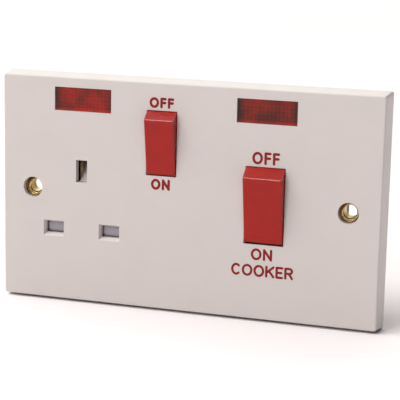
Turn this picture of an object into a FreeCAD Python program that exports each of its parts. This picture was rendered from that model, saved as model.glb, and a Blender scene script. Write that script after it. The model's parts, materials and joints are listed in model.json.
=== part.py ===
import FreeCAD, Part
import math
import os

# Cooker control unit: a two-gang wall plate with a 45 A cooker switch, a switched 13 A socket
# outlet, two neon indicators, and the mechanism that stands behind the plate in the wall box.
# Frame in millimetres: X to the right and Z up as seen from the front, Y into the wall.
# The origin is the centre of the plate in the plane of the wall.

Vector = FreeCAD.Vector
os.makedirs("parts", exist_ok=True)

# Front plate
plate_width = 146.0
plate_height = 86.0
plate_depth = 8.5
plate_wall = 2.6
rim_wall = 2.4
plate_corner = 1.0
plate_flare = 1.0
front_round = 0.6

# Fixing holes with their brass eyelets
fixing_spacing = 120.6
counterbore_radius = 3.8
counterbore_depth = 2.0
eyelet_cup_depth = 1.6
eyelet_wall = 0.5
eyelet_bore_radius = 2.4
fixing_boss_wall = 1.8

# Socket outlet, on the pin spacing of a 13 A plug
socket_x = -40.7
line_pin_z = -14.9
pin_spacing = 22.2
earth_slot_width = 4.4
earth_slot_height = 8.3
line_slot_width = 7.0
line_slot_height = 4.3
funnel_margin = 0.6
funnel_foot_margin = 1.1
funnel_depth = 1.2

# Neon indicators
neon_width = 22.2
neon_height = 8.7
neon_drop = 9.0
socket_neon_x = -40.3
lens_recess = 0.3
lens_front_wall = 2.0
lens_side_wall = 1.2
lens_flange = 1.1
lens_prism_pitch = 1.45
lens_prism_depth = 0.6
lens_back = 0.8
cap_thickness = 1.2
cap_plug = 0.6
lamp_gap = 0.3
lamp_foot = 2.0
lead_exit_near = 1.2
lead_exit_far = 2.4
lead_spread = 0.9
lamp_radius = 2.5
lamp_end_room = 4.6
lead_radius = 0.35
resistor_radius = 1.2
resistor_length = 6.5

# Rockers: the window in the plate, then the rocker in its own frame, with the pivot at the origin
cooker_switch_x = 29.75
cooker_switch_z = 0.0
cooker_window_width = 14.8
cooker_window_length = 28.4
cooker_face_half = 12.25
cooker_face_height = 7.8
cooker_pole_offset = 4.0
socket_switch_x = -9.55
socket_switch_drop = 23.05
socket_window_width = 11.7
socket_window_length = 24.0
socket_face_half = 10.4
socket_face_height = 7.25
rocker_tilt = 10.0
rocker_end_slope = 24.0
rocker_side_draft = 0.08
rocker_edge_round = 0.25
rocker_wall = 1.3
rocker_face_wall = 1.6
rocker_skirt_height = 1.0
pivot_depth = 5.0
trunnion_radius = 1.2
trunnion_length = 2.6
ear_radius = 2.3
lug_length = 3.2
lug_half_height = 2.6
stem_radius = 2.3
stem_reach = 6.0

# Plungers and rocking contact bars
plunger_radius = 1.6
plunger_inside = 4.0
plunger_spring_length = 5.0
bar_arm = 11.2
bar_width = 4.6
bar_thickness = 1.6
bar_fold = 12.5
bar_ratio = 0.75
fulcrum_radius = 0.8
fulcrum_rise = 0.8
contact_arm = 9.0
contact_radius = 1.7
contact_height = 0.8

# Switch bases behind the plate
base_depth = 23.2
base_back = 2.2
base_wall = 2.0
base_edge_round = 0.8
pillar_radius = 3.5
cooker_base_left = 3.2
cooker_base_right = 54.2
cooker_neon_gap = 1.65
socket_base_right = 3.0
socket_neon_gap = 2.15
spring_seat_height = 4.95
socket_tower_left = -25.0
socket_tower_rise = 14.65
wing_out = 4.3
wing_headroom = 6.2
socket_wing_rise = 6.9
pillar_offset = 9.0
rib_half = 1.5
barrier_half = 13.0
barrier_rise = 4.0
barrier_width = 1.2
rail_offset = 5.6
rail_width = 1.4
rail_drop = 4.6
rail_rise = 11.0
cooker_pillar_inset = 7.5
socket_pillar_inset = 4.7
socket_pillar_drop = 6.0
link_pillar_inset = 6.2

# Terminals, strips and links
block_width = 9.0
block_length = 11.5
block_depth = 11.2
terminal_offset = 7.6
earth_block_gap = 0.5
cable_radius = 3.0
cable_wall = 1.8
strip_thickness = 1.2
strip_width = 4.8
clamp_screw_radius = 1.9
clamp_head_radius = 2.4
clamp_head_height = 1.6
clamp_spacing = 5.6
strap_thickness = 1.0
strap_width = 5.0
strap_land = 0.8
strap_corner_rise = 1.4
earth_strap_shift = 5.0
earth_blade_left = 6.4
earth_blade_right = 4.4
earth_blade_drop = 2.0
earth_tail = 2.6
pad_half = 2.4
live_link_drop = 6.6
live_link_width = 4.6
live_link_step = 4.8
live_link_inset = 1.8
live_rise_offset = 12.9
live_rise_width = 3.4
live_foot_half = 2.8
neutral_link_width = 3.4
neutral_tail_width = 6.9
neutral_tail_rise = 2.6
neutral_resistor_drop = 8.5
lead_step = 1.8
lead_rank = 1.5
lead_plane = 5.0
lead_land = 8.0
lead_over_tray = 2.2
lead_over_base = 1.6
lead_drop = 9.5
live_lead_drop = 3.0
live_pad_rise = 10.0
live_lead_rise = 1.2
riser_gap = 1.0
neutral_lead_drop = 6.4
neutral_lead_shift = 1.5
base_screw_radius = 1.5
base_screw_head = 2.7

# Socket contacts and shutter
clip_leaf = 0.9
clip_gap = 3.4
clip_mouth = 5.2
clip_length = 7.0
clip_front_y = -1.0
shutter_thickness = 3.2
shutter_half_width = 16.4
shutter_cover = 0.5
shutter_stroke = 5.2
shutter_stem_half = 3.2
shutter_ramp_half = 1.7
shutter_ramp_depth = 6.4
shutter_spring_radius = 1.3
shutter_spring_length = 9.5

# Clearances
slide_gap = 0.3
side_gap = 0.2
end_gap = 0.25
running_gap = 0.07
seat_gap = 0.05
screw_gap = 0.1
tip_gap = 0.35
wire_gap = 0.15

# Planes that several pieces share
front_y = -plate_depth
inner_y = front_y + plate_wall
pivot_y = front_y + pivot_depth
base_inner_y = base_depth - base_back
strip_front = base_inner_y - block_depth
strip_back = strip_front + strip_thickness
fulcrum_y = strip_front - fulcrum_rise
bar_depth = bar_thickness / math.cos(math.radians(bar_fold))
tip_reach = fulcrum_y - pivot_y - bar_depth - tip_gap
cable_y = strip_front + cable_wall + cable_radius
lamp_length = neon_width - 2 * lamp_end_room
neon_z = plate_height / 2 - neon_drop
socket_switch_z = plate_height / 2 - socket_switch_drop
socket_tower_top = socket_switch_z + socket_tower_rise
wing_reach = cooker_base_right + wing_out
clip_end = clip_length / 2 + clip_leaf
cooker_base_half = neon_z - neon_height / 2 - cooker_neon_gap
socket_base_top = neon_z - neon_height / 2 - socket_neon_gap
earth_pin_z = line_pin_z + pin_spacing
live_pin_x = socket_x + pin_spacing / 2
neutral_pin_x = socket_x - pin_spacing / 2
fixing_xs = (-fixing_spacing / 2, fixing_spacing / 2)
pole_xs = (cooker_switch_x - cooker_pole_offset, cooker_switch_x + cooker_pole_offset)
neutral_block_x = cooker_switch_x - terminal_offset
live_block_x = cooker_switch_x + terminal_offset
cooker_block_end = cooker_base_half - base_wall - slide_gap
earth_block_end = socket_base_top - base_wall - slide_gap
socket_wing_x = neutral_pin_x - clip_end - slide_gap - base_wall
socket_wing_top = line_pin_z + socket_wing_rise
socket_base_left = socket_wing_x + wing_out
cooker_earth_x = wing_reach - base_wall - earth_block_gap - block_width / 2
wing_top = block_length - cooker_block_end + wing_headroom
cooker_pillars = ((cooker_base_left + cooker_pillar_inset, cooker_switch_z - pillar_offset),
                  (cooker_base_right - cooker_pillar_inset, cooker_switch_z + pillar_offset))
socket_pillars = ((socket_base_left + socket_pillar_inset, socket_base_top - socket_pillar_drop),
                  (socket_base_right - link_pillar_inset, -pillar_offset))


class Rocker:
    """One rocker switch: where it sits, its window and its face."""

    def __init__(self, x, z, window_width, window_length, face_half, face_height, poles):
        self.x = x
        self.z = z
        self.window_half_width = window_width / 2
        self.window_half = window_length / 2
        self.half_width = window_width / 2 - side_gap
        self.face_half = face_half
        self.face_height = face_height
        self.poles = poles
        self.relief = math.hypot(self.window_half, pivot_depth)
        self.swing = self.relief - end_gap


cooker_rocker = Rocker(cooker_switch_x, cooker_switch_z, cooker_window_width, cooker_window_length,
                       cooker_face_half, cooker_face_height,
                       (-cooker_pole_offset, cooker_pole_offset))
socket_rocker = Rocker(socket_switch_x, socket_switch_z, socket_window_width, socket_window_length,
                       socket_face_half, socket_face_height, (0.0,))
rockers = (cooker_rocker, socket_rocker)


# Shape helpers

def box(x0, x1, y0, y1, z0, z1):
    return Part.makeBox(x1 - x0, y1 - y0, z1 - z0, Vector(x0, y0, z0))


def cyl_x(y, z, radius, x0, x1):
    return Part.makeCylinder(radius, x1 - x0, Vector(x0, y, z), Vector(1, 0, 0))


def cyl_y(x, z, radius, y0, y1):
    return Part.makeCylinder(radius, y1 - y0, Vector(x, y0, z), Vector(0, 1, 0))


def cyl_z(x, y, radius, z0, z1):
    return Part.makeCylinder(radius, z1 - z0, Vector(x, y, z0), Vector(0, 0, 1))


def face_of(points):
    return Part.Face(Part.makePolygon(points + [points[0]]))


def prism_x(points, x0, x1):
    """Extrude a (y, z) outline along X."""
    return face_of([Vector(x0, y, z) for y, z in points]).extrude(Vector(x1 - x0, 0, 0))


def prism_y(points, y0, y1):
    """Extrude an (x, z) outline along Y."""
    return face_of([Vector(x, y0, z) for x, z in points]).extrude(Vector(0, y1 - y0, 0))


def prism_z(points, z0, z1):
    """Extrude an (x, y) outline along Z."""
    return face_of([Vector(x, y, z0) for x, y in points]).extrude(Vector(0, 0, z1 - z0))


def revolve_y(points, x, z):
    """Turn a (radius, y) outline about the Y line through x, z."""
    outline = face_of([Vector(x + radius, y, z) for radius, y in points])
    return outline.revolve(Vector(x, 0, z), Vector(0, 1, 0), 360)


def fuse(shapes):
    shapes = list(shapes)
    if len(shapes) == 1:
        return shapes[0]
    return shapes[0].multiFuse(shapes[1:]).removeSplitter()


def rectangle_wire(x0, x1, z0, z1, y):
    corners = [Vector(x0, y, z0), Vector(x1, y, z0), Vector(x1, y, z1), Vector(x0, y, z1)]
    return Part.makePolygon(corners + [corners[0]])


def rounded_wire(half_x, half_z, radius, y):
    """Rounded rectangle about the origin, in the plane at y."""
    edges = []
    corners = ((1, 1), (-1, 1), (-1, -1), (1, -1))
    points = []
    for index, (sx, sz) in enumerate(corners):
        centre = Vector(sx * (half_x - radius), y, sz * (half_z - radius))
        arc = []
        for part in (0, 45, 90):
            angle = math.radians(90 * index + part)
            arc.append(centre + Vector(radius * math.cos(angle), 0, radius * math.sin(angle)))
        points.append(arc)
    for index, arc in enumerate(points):
        edges.append(Part.Arc(*arc).toShape())
        edges.append(Part.makeLine(arc[2], points[(index + 1) % 4][0]))
    return Part.Wire(edges)


def round_edges(shape, radius, wanted):
    edges = [edge for edge in shape.Edges if all(wanted(vertex.Point) for vertex in edge.Vertexes)]
    return shape.makeFillet(radius, edges)


def coil(radius, wire, length, turns):
    """Coil spring that stands on the origin, along Z."""
    height = length - 2 * wire - wire_gap
    path = Part.Wire([Part.makeHelix(height / turns, height, radius)])
    section = Part.Wire([Part.makeCircle(wire, Vector(radius, 0, 0), Vector(0, 1, 0))])
    spring = path.makePipeShell([section], True, True)
    spring.translate(Vector(0, 0, wire + wire_gap / 2))
    return spring


def wire_run(points):
    """Round wire through the points, with a ball at each bend."""
    shapes = []
    for start, end in zip(points[:-1], points[1:]):
        span = Vector(*end) - Vector(*start)
        shapes.append(Part.makeCylinder(lead_radius, span.Length, Vector(*start), span))
    for point in points[1:-1]:
        shapes.append(Part.makeSphere(lead_radius, Vector(*point)))
    return fuse(shapes)


def turned(shape, angle, x, y, z):
    """Turn a shape about X at the origin and carry it to its place."""
    shape = shape.copy()
    shape.rotate(Vector(0, 0, 0), Vector(1, 0, 0), angle)
    shape.translate(Vector(x, y, z))
    return shape


# Front plate

def rocker_window(rocker):
    """Window cut whose ends follow the swing of the rocker."""
    back_y = inner_y + 1.0
    back_half = math.sqrt(rocker.relief ** 2 - (pivot_y - back_y) ** 2)
    mid_y = (front_y + back_y) / 2
    mid_half = math.sqrt(rocker.relief ** 2 - (pivot_y - mid_y) ** 2)
    x0 = rocker.x - rocker.window_half_width
    out_y = front_y - 1.0

    def point(y, half):
        return Vector(x0, y, rocker.z + half)

    half = rocker.window_half
    low_arc = Part.Arc(point(front_y, -half), point(mid_y, -mid_half), point(back_y, -back_half))
    high_arc = Part.Arc(point(back_y, back_half), point(mid_y, mid_half), point(front_y, half))
    edges = [
        Part.makeLine(point(out_y, -half), point(front_y, -half)),
        low_arc.toShape(),
        Part.makeLine(point(back_y, -back_half), point(back_y, back_half)),
        high_arc.toShape(),
        Part.makeLine(point(front_y, half), point(out_y, half)),
        Part.makeLine(point(out_y, half), point(out_y, -half)),
    ]
    return Part.Face(Part.Wire(edges)).extrude(Vector(2 * rocker.window_half_width, 0, 0))


def trunnion_lugs(rocker, y0, y1):
    """Bearing lugs on both sides of a rocker, half round at the pivot."""
    lugs = []
    near = rocker.window_half_width + running_gap
    for side in (-1, 1):
        x0, x1 = sorted((rocker.x + side * near, rocker.x + side * (near + lug_length)))
        lug = box(x0, x1, y0, y1, rocker.z - lug_half_height, rocker.z + lug_half_height)
        seat = cyl_x(pivot_y, rocker.z, trunnion_radius + running_gap, x0 - 1, x1 + 1)
        lugs.append(lug.cut(seat))
    return lugs


def line_slot(x):
    """Slot for a flat pin, with the funnel that leads the pin in."""
    half_x = line_slot_width / 2
    half_z = line_slot_height / 2
    low = line_pin_z - half_z
    high = line_pin_z + half_z
    slot = box(x - half_x, x + half_x, front_y - 1, inner_y + 1, low, high)
    mouth = rectangle_wire(x - half_x - funnel_margin, x + half_x + funnel_margin,
                           low - funnel_foot_margin, high + funnel_margin, front_y)
    throat = rectangle_wire(x - half_x, x + half_x, low, high, front_y + funnel_depth)
    return fuse([slot, Part.makeLoft([mouth, throat], True, True)])


def neon_window(x):
    return box(x - neon_width / 2, x + neon_width / 2, front_y - 1, inner_y + 1,
               neon_z - neon_height / 2, neon_z + neon_height / 2)


def front_plate():
    back = rounded_wire(plate_width / 2, plate_height / 2, plate_corner, 0.0)
    front = rounded_wire(plate_width / 2 - plate_flare, plate_height / 2 - plate_flare, plate_corner, front_y)
    body = Part.makeLoft([back, front], True, True)
    outside = round_edges(body, front_round, lambda point: abs(point.y - front_y) < 1e-6)
    hollow = rounded_wire(plate_width / 2 - rim_wall, plate_height / 2 - rim_wall, plate_corner / 2, inner_y)
    body = outside.cut(Part.Face(hollow).extrude(Vector(0, -inner_y + 1, 0)))
    added = [cyl_y(x, 0.0, counterbore_radius + fixing_boss_wall, inner_y - 0.5, -strap_thickness)
             for x in fixing_xs]
    for x, z in cooker_pillars + socket_pillars:
        added.append(cyl_y(x, z, pillar_radius, inner_y - 0.5, 0.0))
    for rocker in rockers:
        added += trunnion_lugs(rocker, inner_y - 0.5, pivot_y)
    guide = shutter_stem_half + slide_gap
    for side in (-1, 1):
        x0, x1 = sorted((socket_x + side * guide, socket_x + side * (guide + 1.2)))
        added.append(box(x0, x1, inner_y - 0.5, inner_y + shutter_thickness,
                         line_pin_z + 4.0, earth_pin_z - 7.5))
    body = fuse([body] + [piece.common(outside) for piece in added])
    cuts = [rocker_window(rocker) for rocker in rockers]
    cuts += [neon_window(socket_neon_x), neon_window(cooker_switch_x)]
    cuts += [line_slot(live_pin_x), line_slot(neutral_pin_x)]
    cuts.append(box(socket_x - earth_slot_width / 2, socket_x + earth_slot_width / 2,
                    front_y - 1, inner_y + 1,
                    earth_pin_z - earth_slot_height / 2, earth_pin_z + earth_slot_height / 2))
    cup_end = front_y + counterbore_depth + eyelet_cup_depth + eyelet_wall
    for x in fixing_xs:
        cuts.append(cyl_y(x, 0.0, counterbore_radius, front_y - 1, cup_end))
        cuts.append(cyl_y(x, 0.0, eyelet_bore_radius + eyelet_wall + seat_gap, front_y, 1.0))
        cuts.append(cyl_y(x, 0.0, counterbore_radius + strap_land + seat_gap, -strap_thickness, 1.0))
    for x, z in cooker_pillars + socket_pillars:
        cuts.append(cyl_y(x, z, base_screw_radius + screw_gap, inner_y, 1.0))
    return body.cut(fuse(cuts))


# Fixing eyelets and earth straps

def fixing_eyelet(x):
    """Brass cup under the screw head with a tube that reaches the wall."""
    lip_y = front_y + counterbore_depth
    floor_y = lip_y + eyelet_cup_depth
    outer = counterbore_radius - seat_gap
    tube = eyelet_bore_radius + eyelet_wall
    lead = 0.4
    inside = outer - eyelet_wall
    profile = [
        (outer, lip_y), (outer, floor_y + eyelet_wall), (tube, floor_y + eyelet_wall), (tube, 0.0),
        (eyelet_bore_radius, 0.0), (eyelet_bore_radius, floor_y + lead),
        (eyelet_bore_radius + lead, floor_y), (inside - 0.3, floor_y),
        (inside, floor_y - 0.3), (inside, lip_y + 0.3), (outer - 0.2, lip_y),
    ]
    return revolve_y(profile, x, 0.0)


def earth_strap(x, corner_x, corner_z):
    """Flat strap from a fixing eyelet to a corner, with a leg back to the earth strip."""
    ring_radius = eyelet_bore_radius + eyelet_wall + seat_gap
    ring = cyl_y(x, 0.0, counterbore_radius + strap_land, -strap_thickness, 0.0)
    half = strap_width / 2
    arm = prism_y([(x, -half), (x, half), (corner_x, corner_z + half), (corner_x, corner_z - half)],
                  -strap_thickness, 0.0)
    leg_x = sorted((corner_x, corner_x + math.copysign(strap_thickness, corner_x)))
    leg = box(leg_x[0], leg_x[1], -strap_thickness, strip_front, corner_z - 1.1, corner_z + 1.1)
    strap = fuse([ring, arm, leg])
    return strap.cut(cyl_y(x, 0.0, ring_radius, -5.0, 5.0))


# Neon indicators

def neon_lens(x):
    """Red lens: a cup flush in its window, with rows of prisms behind its face."""
    half_x = neon_width / 2 - side_gap / 2
    half_z = neon_height / 2 - side_gap / 2
    face_y = front_y + lens_recess
    body = box(x - half_x, x + half_x, face_y, lens_back, neon_z - half_z, neon_z + half_z)
    flange = box(x - half_x - lens_flange, x + half_x + lens_flange, inner_y, inner_y + 1.0,
                 neon_z - half_z - lens_flange, neon_z + half_z + lens_flange)
    root_y = face_y + lens_front_wall
    tip_y = root_y - lens_prism_depth
    reach_x = half_x - lens_side_wall
    reach_z = half_z - lens_side_wall
    hollow = box(x - reach_x, x + reach_x, root_y, lens_back + 1, neon_z - reach_z, neon_z + reach_z)
    lens = fuse([body, flange]).cut(hollow)
    grooves = []
    for reach, upright in ((reach_x, True), (reach_z, False)):
        count = int((2 * reach) / lens_prism_pitch)
        start = -count * lens_prism_pitch / 2
        for index in range(count):
            mid = start + (index + 0.5) * lens_prism_pitch
            half = lens_prism_pitch * 0.45
            if upright:
                outline = [(x + mid - half, root_y + 0.01), (x + mid, tip_y), (x + mid + half, root_y + 0.01)]
                grooves.append(prism_z(outline, neon_z - reach_z, neon_z + reach_z))
            else:
                outline = [(root_y + 0.01, neon_z + mid - half), (tip_y, neon_z + mid),
                           (root_y + 0.01, neon_z + mid + half)]
                grooves.append(prism_x(outline, x - reach_x, x + reach_x))
    return lens.cut(grooves)


def neon_retainer(x):
    """Cap that closes the back of a lens, with two holes for the leads."""
    half_x = neon_width / 2 - side_gap / 2
    half_z = neon_height / 2 - side_gap / 2
    inset = lens_side_wall + seat_gap
    cap = box(x - half_x, x + half_x, lens_back, lens_back + cap_thickness, neon_z - half_z, neon_z + half_z)
    plug = box(x - half_x + inset, x + half_x - inset, lens_back - cap_plug, lens_back,
               neon_z - half_z + inset, neon_z + half_z - inset)
    cap = fuse([cap, plug])
    for lead_x, lead_z in lead_exits:
        cap = cap.cut(cyl_y(x + lead_x, neon_z + lead_z, lead_radius + wire_gap,
                            lens_back - cap_plug - 1, lens_back + cap_thickness + 1))
    return cap


lamp_y = -lamp_gap - lamp_radius
lead_exits = ((lamp_length / 2 + lead_exit_near, lead_spread),
              (lamp_length / 2 + lead_exit_far, -lead_spread))


def neon_lamp(x):
    """Glass tube with a rounded tip and a pinched foot."""
    tube = cyl_x(lamp_y, neon_z, lamp_radius, x - lamp_length / 2 + lamp_radius, x + lamp_length / 2 - 1.5)
    tip = Part.makeSphere(lamp_radius, Vector(x - lamp_length / 2 + lamp_radius, lamp_y, neon_z))
    end_x = x + lamp_length / 2
    foot = box(end_x - lamp_foot, end_x, lamp_y - 0.7, lamp_y + 0.7, neon_z - 1.7, neon_z + 1.7)
    return fuse([tube, tip, foot])


def neon_lead(x, lead, path):
    """Lead from the foot of the lamp through the retainer and along its path."""
    lead_x, lead_z = lead
    start = [(x + lamp_length / 2, lamp_y, neon_z + lead_z), (x + lead_x, lamp_y, neon_z + lead_z)]
    return wire_run(start + path)


def resistor(x, y, z):
    sleeve = cyl_z(x, y, resistor_radius, z, z + resistor_length)
    return sleeve.cut(cyl_z(x, y, lead_radius + seat_gap, z - 1, z + resistor_length + 1))


lead_y = lead_plane
socket_live_exit = (socket_neon_x + lead_exits[0][0], neon_z + lead_exits[0][1])
socket_neutral_exit = (socket_neon_x + lead_exits[1][0], neon_z + lead_exits[1][1])
cooker_live_exit = (cooker_switch_x + lead_exits[0][0], neon_z + lead_exits[0][1])
cooker_neutral_exit = (cooker_switch_x + lead_exits[1][0], neon_z + lead_exits[1][1])
pad_z = socket_switch_z + live_pad_rise
riser_x = socket_tower_left + base_wall + riser_gap
socket_live_path = [
    (socket_live_exit[0], lead_y - lead_rank, socket_live_exit[1]),
    (socket_live_exit[0], lead_y - lead_rank, pad_z + live_lead_rise),
    (socket_switch_x - lead_land, lead_y - lead_rank, pad_z + live_lead_rise),
    (socket_switch_x - lead_land, strip_front, pad_z + live_lead_rise),
]
socket_neutral_path = [
    (socket_neutral_exit[0], lead_y, socket_neutral_exit[1]),
    (socket_neutral_exit[0], lead_y, socket_base_top + lead_over_tray),
    (riser_x, lead_y, socket_base_top + lead_over_tray),
    (riser_x, lead_y, line_pin_z - neutral_lead_drop),
    (neutral_pin_x + neutral_lead_shift, lead_y, line_pin_z - neutral_lead_drop),
    (neutral_pin_x + neutral_lead_shift, strip_front, line_pin_z - neutral_lead_drop),
]
cooker_live_path = [
    (cooker_live_exit[0], lead_y, cooker_live_exit[1]),
    (cooker_live_exit[0], lead_y, cooker_block_end - live_lead_drop),
    (cooker_live_exit[0], strip_front, cooker_block_end - live_lead_drop),
]
cooker_neutral_path = [
    (cooker_neutral_exit[0], lead_y - lead_step, cooker_neutral_exit[1]),
    (cooker_neutral_exit[0], lead_y - lead_step, cooker_base_half + lead_over_base),
    (neutral_block_x, lead_y - lead_step, cooker_base_half + lead_over_base),
    (neutral_block_x, lead_y - lead_step, cooker_block_end - lead_drop),
    (neutral_block_x, strip_front, cooker_block_end - lead_drop),
]


# Rockers, plungers and contact bars

def rocker_outline(rocker):
    """Side outline of a rocker in its own frame: flat face, sloped ends, skirts inside the swing."""
    slope = math.radians(rocker_end_slope)
    corner = (rocker.face_half, rocker.face_height)
    along = corner[0] * math.sin(slope) - corner[1] * math.cos(slope)
    rest = rocker.swing ** 2 - corner[0] ** 2 - corner[1] ** 2
    run = -along + math.sqrt(along ** 2 + rest)
    knee = (corner[0] + run * math.sin(slope), corner[1] - run * math.cos(slope))
    foot = (math.sqrt(rocker.swing ** 2 - rocker_skirt_height ** 2), rocker_skirt_height)
    half_angle = (math.atan2(knee[1], knee[0]) + math.atan2(foot[1], foot[0])) / 2
    bulge = (rocker.swing * math.cos(half_angle), rocker.swing * math.sin(half_angle))

    def point(spot, side=1):
        return Vector(0, -spot[1], side * spot[0])

    edges = [
        Part.makeLine(point(corner, -1), point(corner)),
        Part.makeLine(point(corner), point(knee)),
        Part.Arc(point(knee), point(bulge), point(foot)).toShape(),
        Part.makeLine(point(foot), point(foot, -1)),
        Part.Arc(point(foot, -1), point(bulge, -1), point(knee, -1)).toShape(),
        Part.makeLine(point(knee, -1), point(corner, -1)),
    ]
    return Part.Face(Part.Wire(edges))


def rocker_shape(rocker):
    half = rocker.half_width
    top = rocker.face_height
    body = rocker_outline(rocker).extrude(Vector(2 * half, 0, 0))
    body.translate(Vector(-half, 0, 0))
    draft = prism_z([(-half + rocker_side_draft, -top), (half - rocker_side_draft, -top), (half, -2.0),
                     (half, 3.0), (-half, 3.0), (-half, -2.0)], -rocker.relief, rocker.relief)
    body = body.common(draft)
    body = round_edges(body, rocker_edge_round, lambda point: point.y < -top + 1e-6)
    hollow = box(-half + rocker_wall, half - rocker_wall, -top + rocker_face_wall, 3.0,
                 -rocker.face_half + 0.4, rocker.face_half - 0.4)
    body = body.cut(hollow)
    added = []
    for side in (-1, 1):
        ear = sorted((side * (half - rocker_wall), side * half))
        stub = sorted((side * (half - 0.5), side * (half + trunnion_length)))
        added.append(cyl_x(0, 0, ear_radius, ear[0], ear[1]))
        added.append(cyl_x(0, 0, trunnion_radius, stub[0], stub[1]))
    for pole in rocker.poles:
        added.append(cyl_y(pole, 0, stem_radius, -top + rocker_face_wall - 0.3, stem_reach))
    body = fuse([body] + added)
    bore_top = stem_reach - plunger_inside - plunger_spring_length
    bores = [cyl_y(pole, 0, plunger_radius + screw_gap, bore_top, stem_reach + 1) for pole in rocker.poles]
    return body.cut(fuse(bores))


def in_rocker(shape, rocker):
    return turned(shape, rocker_tilt, rocker.x, pivot_y, rocker.z)


def plunger(pole):
    """Round-ended plunger that rides in the stem of a rocker."""
    back = stem_reach - plunger_inside
    body = cyl_y(pole, 0, plunger_radius, back, tip_reach - plunger_radius)
    return fuse([body, Part.makeSphere(plunger_radius, Vector(pole, tip_reach - plunger_radius, 0))])


def plunger_spring(pole):
    spring = coil(plunger_radius - 0.35, 0.2, plunger_spring_length, 6)
    spring.rotate(Vector(0, 0, 0), Vector(1, 0, 0), -90)
    spring.translate(Vector(pole, stem_reach - plunger_inside - plunger_spring_length, 0))
    return spring


def contact_bar():
    """Folded bar on its fulcrum, with a contact button behind its upper arm."""
    fold = math.radians(bar_fold)
    tip_z = bar_arm * math.cos(fold)
    tip_y = -bar_arm * math.sin(fold)
    outline = [(tip_y, -tip_z), (0, 0), (tip_y, tip_z), (tip_y - bar_depth, tip_z), (-bar_depth, 0),
               (tip_y - bar_depth, -tip_z)]
    bar = prism_x(outline, -bar_width / 2, bar_width / 2)
    foot = Vector(0, -contact_arm * math.sin(fold), contact_arm * math.cos(fold))
    normal = Vector(0, math.cos(fold), math.sin(fold))
    button = Part.makeCylinder(contact_radius, contact_height + 0.3, foot - normal * 0.3, normal)
    return fuse([bar, button]).cut(cyl_x(0, 0, fulcrum_radius + running_gap, -bar_width, bar_width))


def contact_spot():
    """Where the moving button's face lies at rest, from the fulcrum."""
    fold = math.radians(bar_fold)
    face = Vector(0, -contact_arm * math.sin(fold), contact_arm * math.cos(fold))
    face = face + Vector(0, math.cos(fold), math.sin(fold)) * contact_height
    rest = math.radians(-bar_ratio * rocker_tilt)
    spot_y = face.y * math.cos(rest) - face.z * math.sin(rest)
    spot_z = face.y * math.sin(rest) + face.z * math.cos(rest)
    return (spot_y, spot_z)


def fulcrum(x, z):
    ridge = cyl_x(fulcrum_y, z, fulcrum_radius, x - bar_width / 2, x + bar_width / 2)
    web = box(x - bar_width / 2, x + bar_width / 2, fulcrum_y, strip_front + 0.2, z - 0.5, z + 0.5)
    return [ridge, web]


def fixed_contact(x, z):
    """Fixed button just behind the moving one."""
    spot_y, spot_z = contact_spot()
    lean = math.radians(bar_fold - bar_ratio * rocker_tilt)
    face_y = fulcrum_y + spot_y + contact_radius * math.sin(lean) + screw_gap
    return cyl_y(x, z + spot_z, contact_radius + 0.2, face_y, strip_front + 0.2)


# Terminals

def strip(x0, x1, z0, z1):
    return box(x0, x1, strip_front, strip_back, z0, z1)


def terminal_block(x, z0):
    """Brass block with the cable bore along Z and two tapped holes from the back."""
    half = block_width / 2
    block = box(x - half, x + half, strip_front, base_inner_y, z0, z0 + block_length)
    cuts = [cyl_z(x, cable_y, cable_radius, z0 - 1, z0 + block_length + 1)]
    for z in clamp_heights(z0):
        cuts.append(cyl_y(x, z, clamp_screw_radius + screw_gap, cable_y, base_inner_y + 1))
    return block.cut(fuse(cuts))


def clamp_heights(z0):
    mid = z0 + block_length / 2
    return (mid - clamp_spacing / 2, mid + clamp_spacing / 2)


def load_terminal(block_x, pole_x):
    """Upper block with the strip that carries the fixed contact."""
    z0 = cooker_block_end - block_length
    spot_z = cooker_switch_z + contact_spot()[1]
    blade = strip(pole_x - strip_width / 2, pole_x + strip_width / 2, spot_z - pad_half, z0 + 1.0)
    return fuse([terminal_block(block_x, z0), blade, fixed_contact(pole_x, cooker_switch_z)])


def supply_terminal(block_x, pole_x):
    """Lower block with the strip that carries the fulcrum."""
    z0 = -cooker_block_end
    blade = strip(pole_x - strip_width / 2, pole_x + strip_width / 2,
                  z0 + block_length - 1.0, cooker_switch_z + 1.6)
    return fuse([terminal_block(block_x, z0), blade] + fulcrum(pole_x, cooker_switch_z))


def cooker_earth_terminal():
    z0 = -cooker_block_end
    top = z0 + block_length
    half = block_width / 2
    blade = strip(cooker_earth_x - half, cooker_earth_x + half, top - 1.0, top + earth_tail)
    return fuse([terminal_block(cooker_earth_x, z0), blade])


earth_block_z = earth_block_end - block_length
earth_strap_corner = (socket_x - earth_strap_shift, earth_block_z - strap_corner_rise)
cooker_strap_corner = (cooker_earth_x, block_length - cooker_block_end + strap_corner_rise)


def socket_earth_terminal():
    contact_top = earth_pin_z + earth_slot_height / 2 + slide_gap
    blade = strip(socket_x - earth_blade_left, socket_x + earth_blade_right,
                  min(earth_block_z - earth_blade_drop, contact_top), earth_block_z + 1.0)
    return fuse([terminal_block(socket_x, earth_block_z), blade])


terminal_spots = (
    (live_block_x, cooker_block_end - block_length, 1),
    (neutral_block_x, cooker_block_end - block_length, 1),
    (live_block_x, -cooker_block_end, -1),
    (neutral_block_x, -cooker_block_end, -1),
    (cooker_earth_x, -cooker_block_end, -1),
    (socket_x, earth_block_z, 1),
)


def clamp_screw(x, z):
    """Slotted clamp screw whose tip stops short of the cable."""
    tip_y = cable_y + cable_radius + seat_gap
    shank = cyl_y(x, z, clamp_screw_radius, tip_y, base_inner_y + 0.2)
    head = cyl_y(x, z, clamp_head_radius, base_inner_y, base_inner_y + clamp_head_height)
    slot = box(x - 0.35, x + 0.35, base_inner_y + clamp_head_height - 0.7, base_depth + 1, z - 3, z + 3)
    return fuse([shank, head]).cut(slot)


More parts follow.
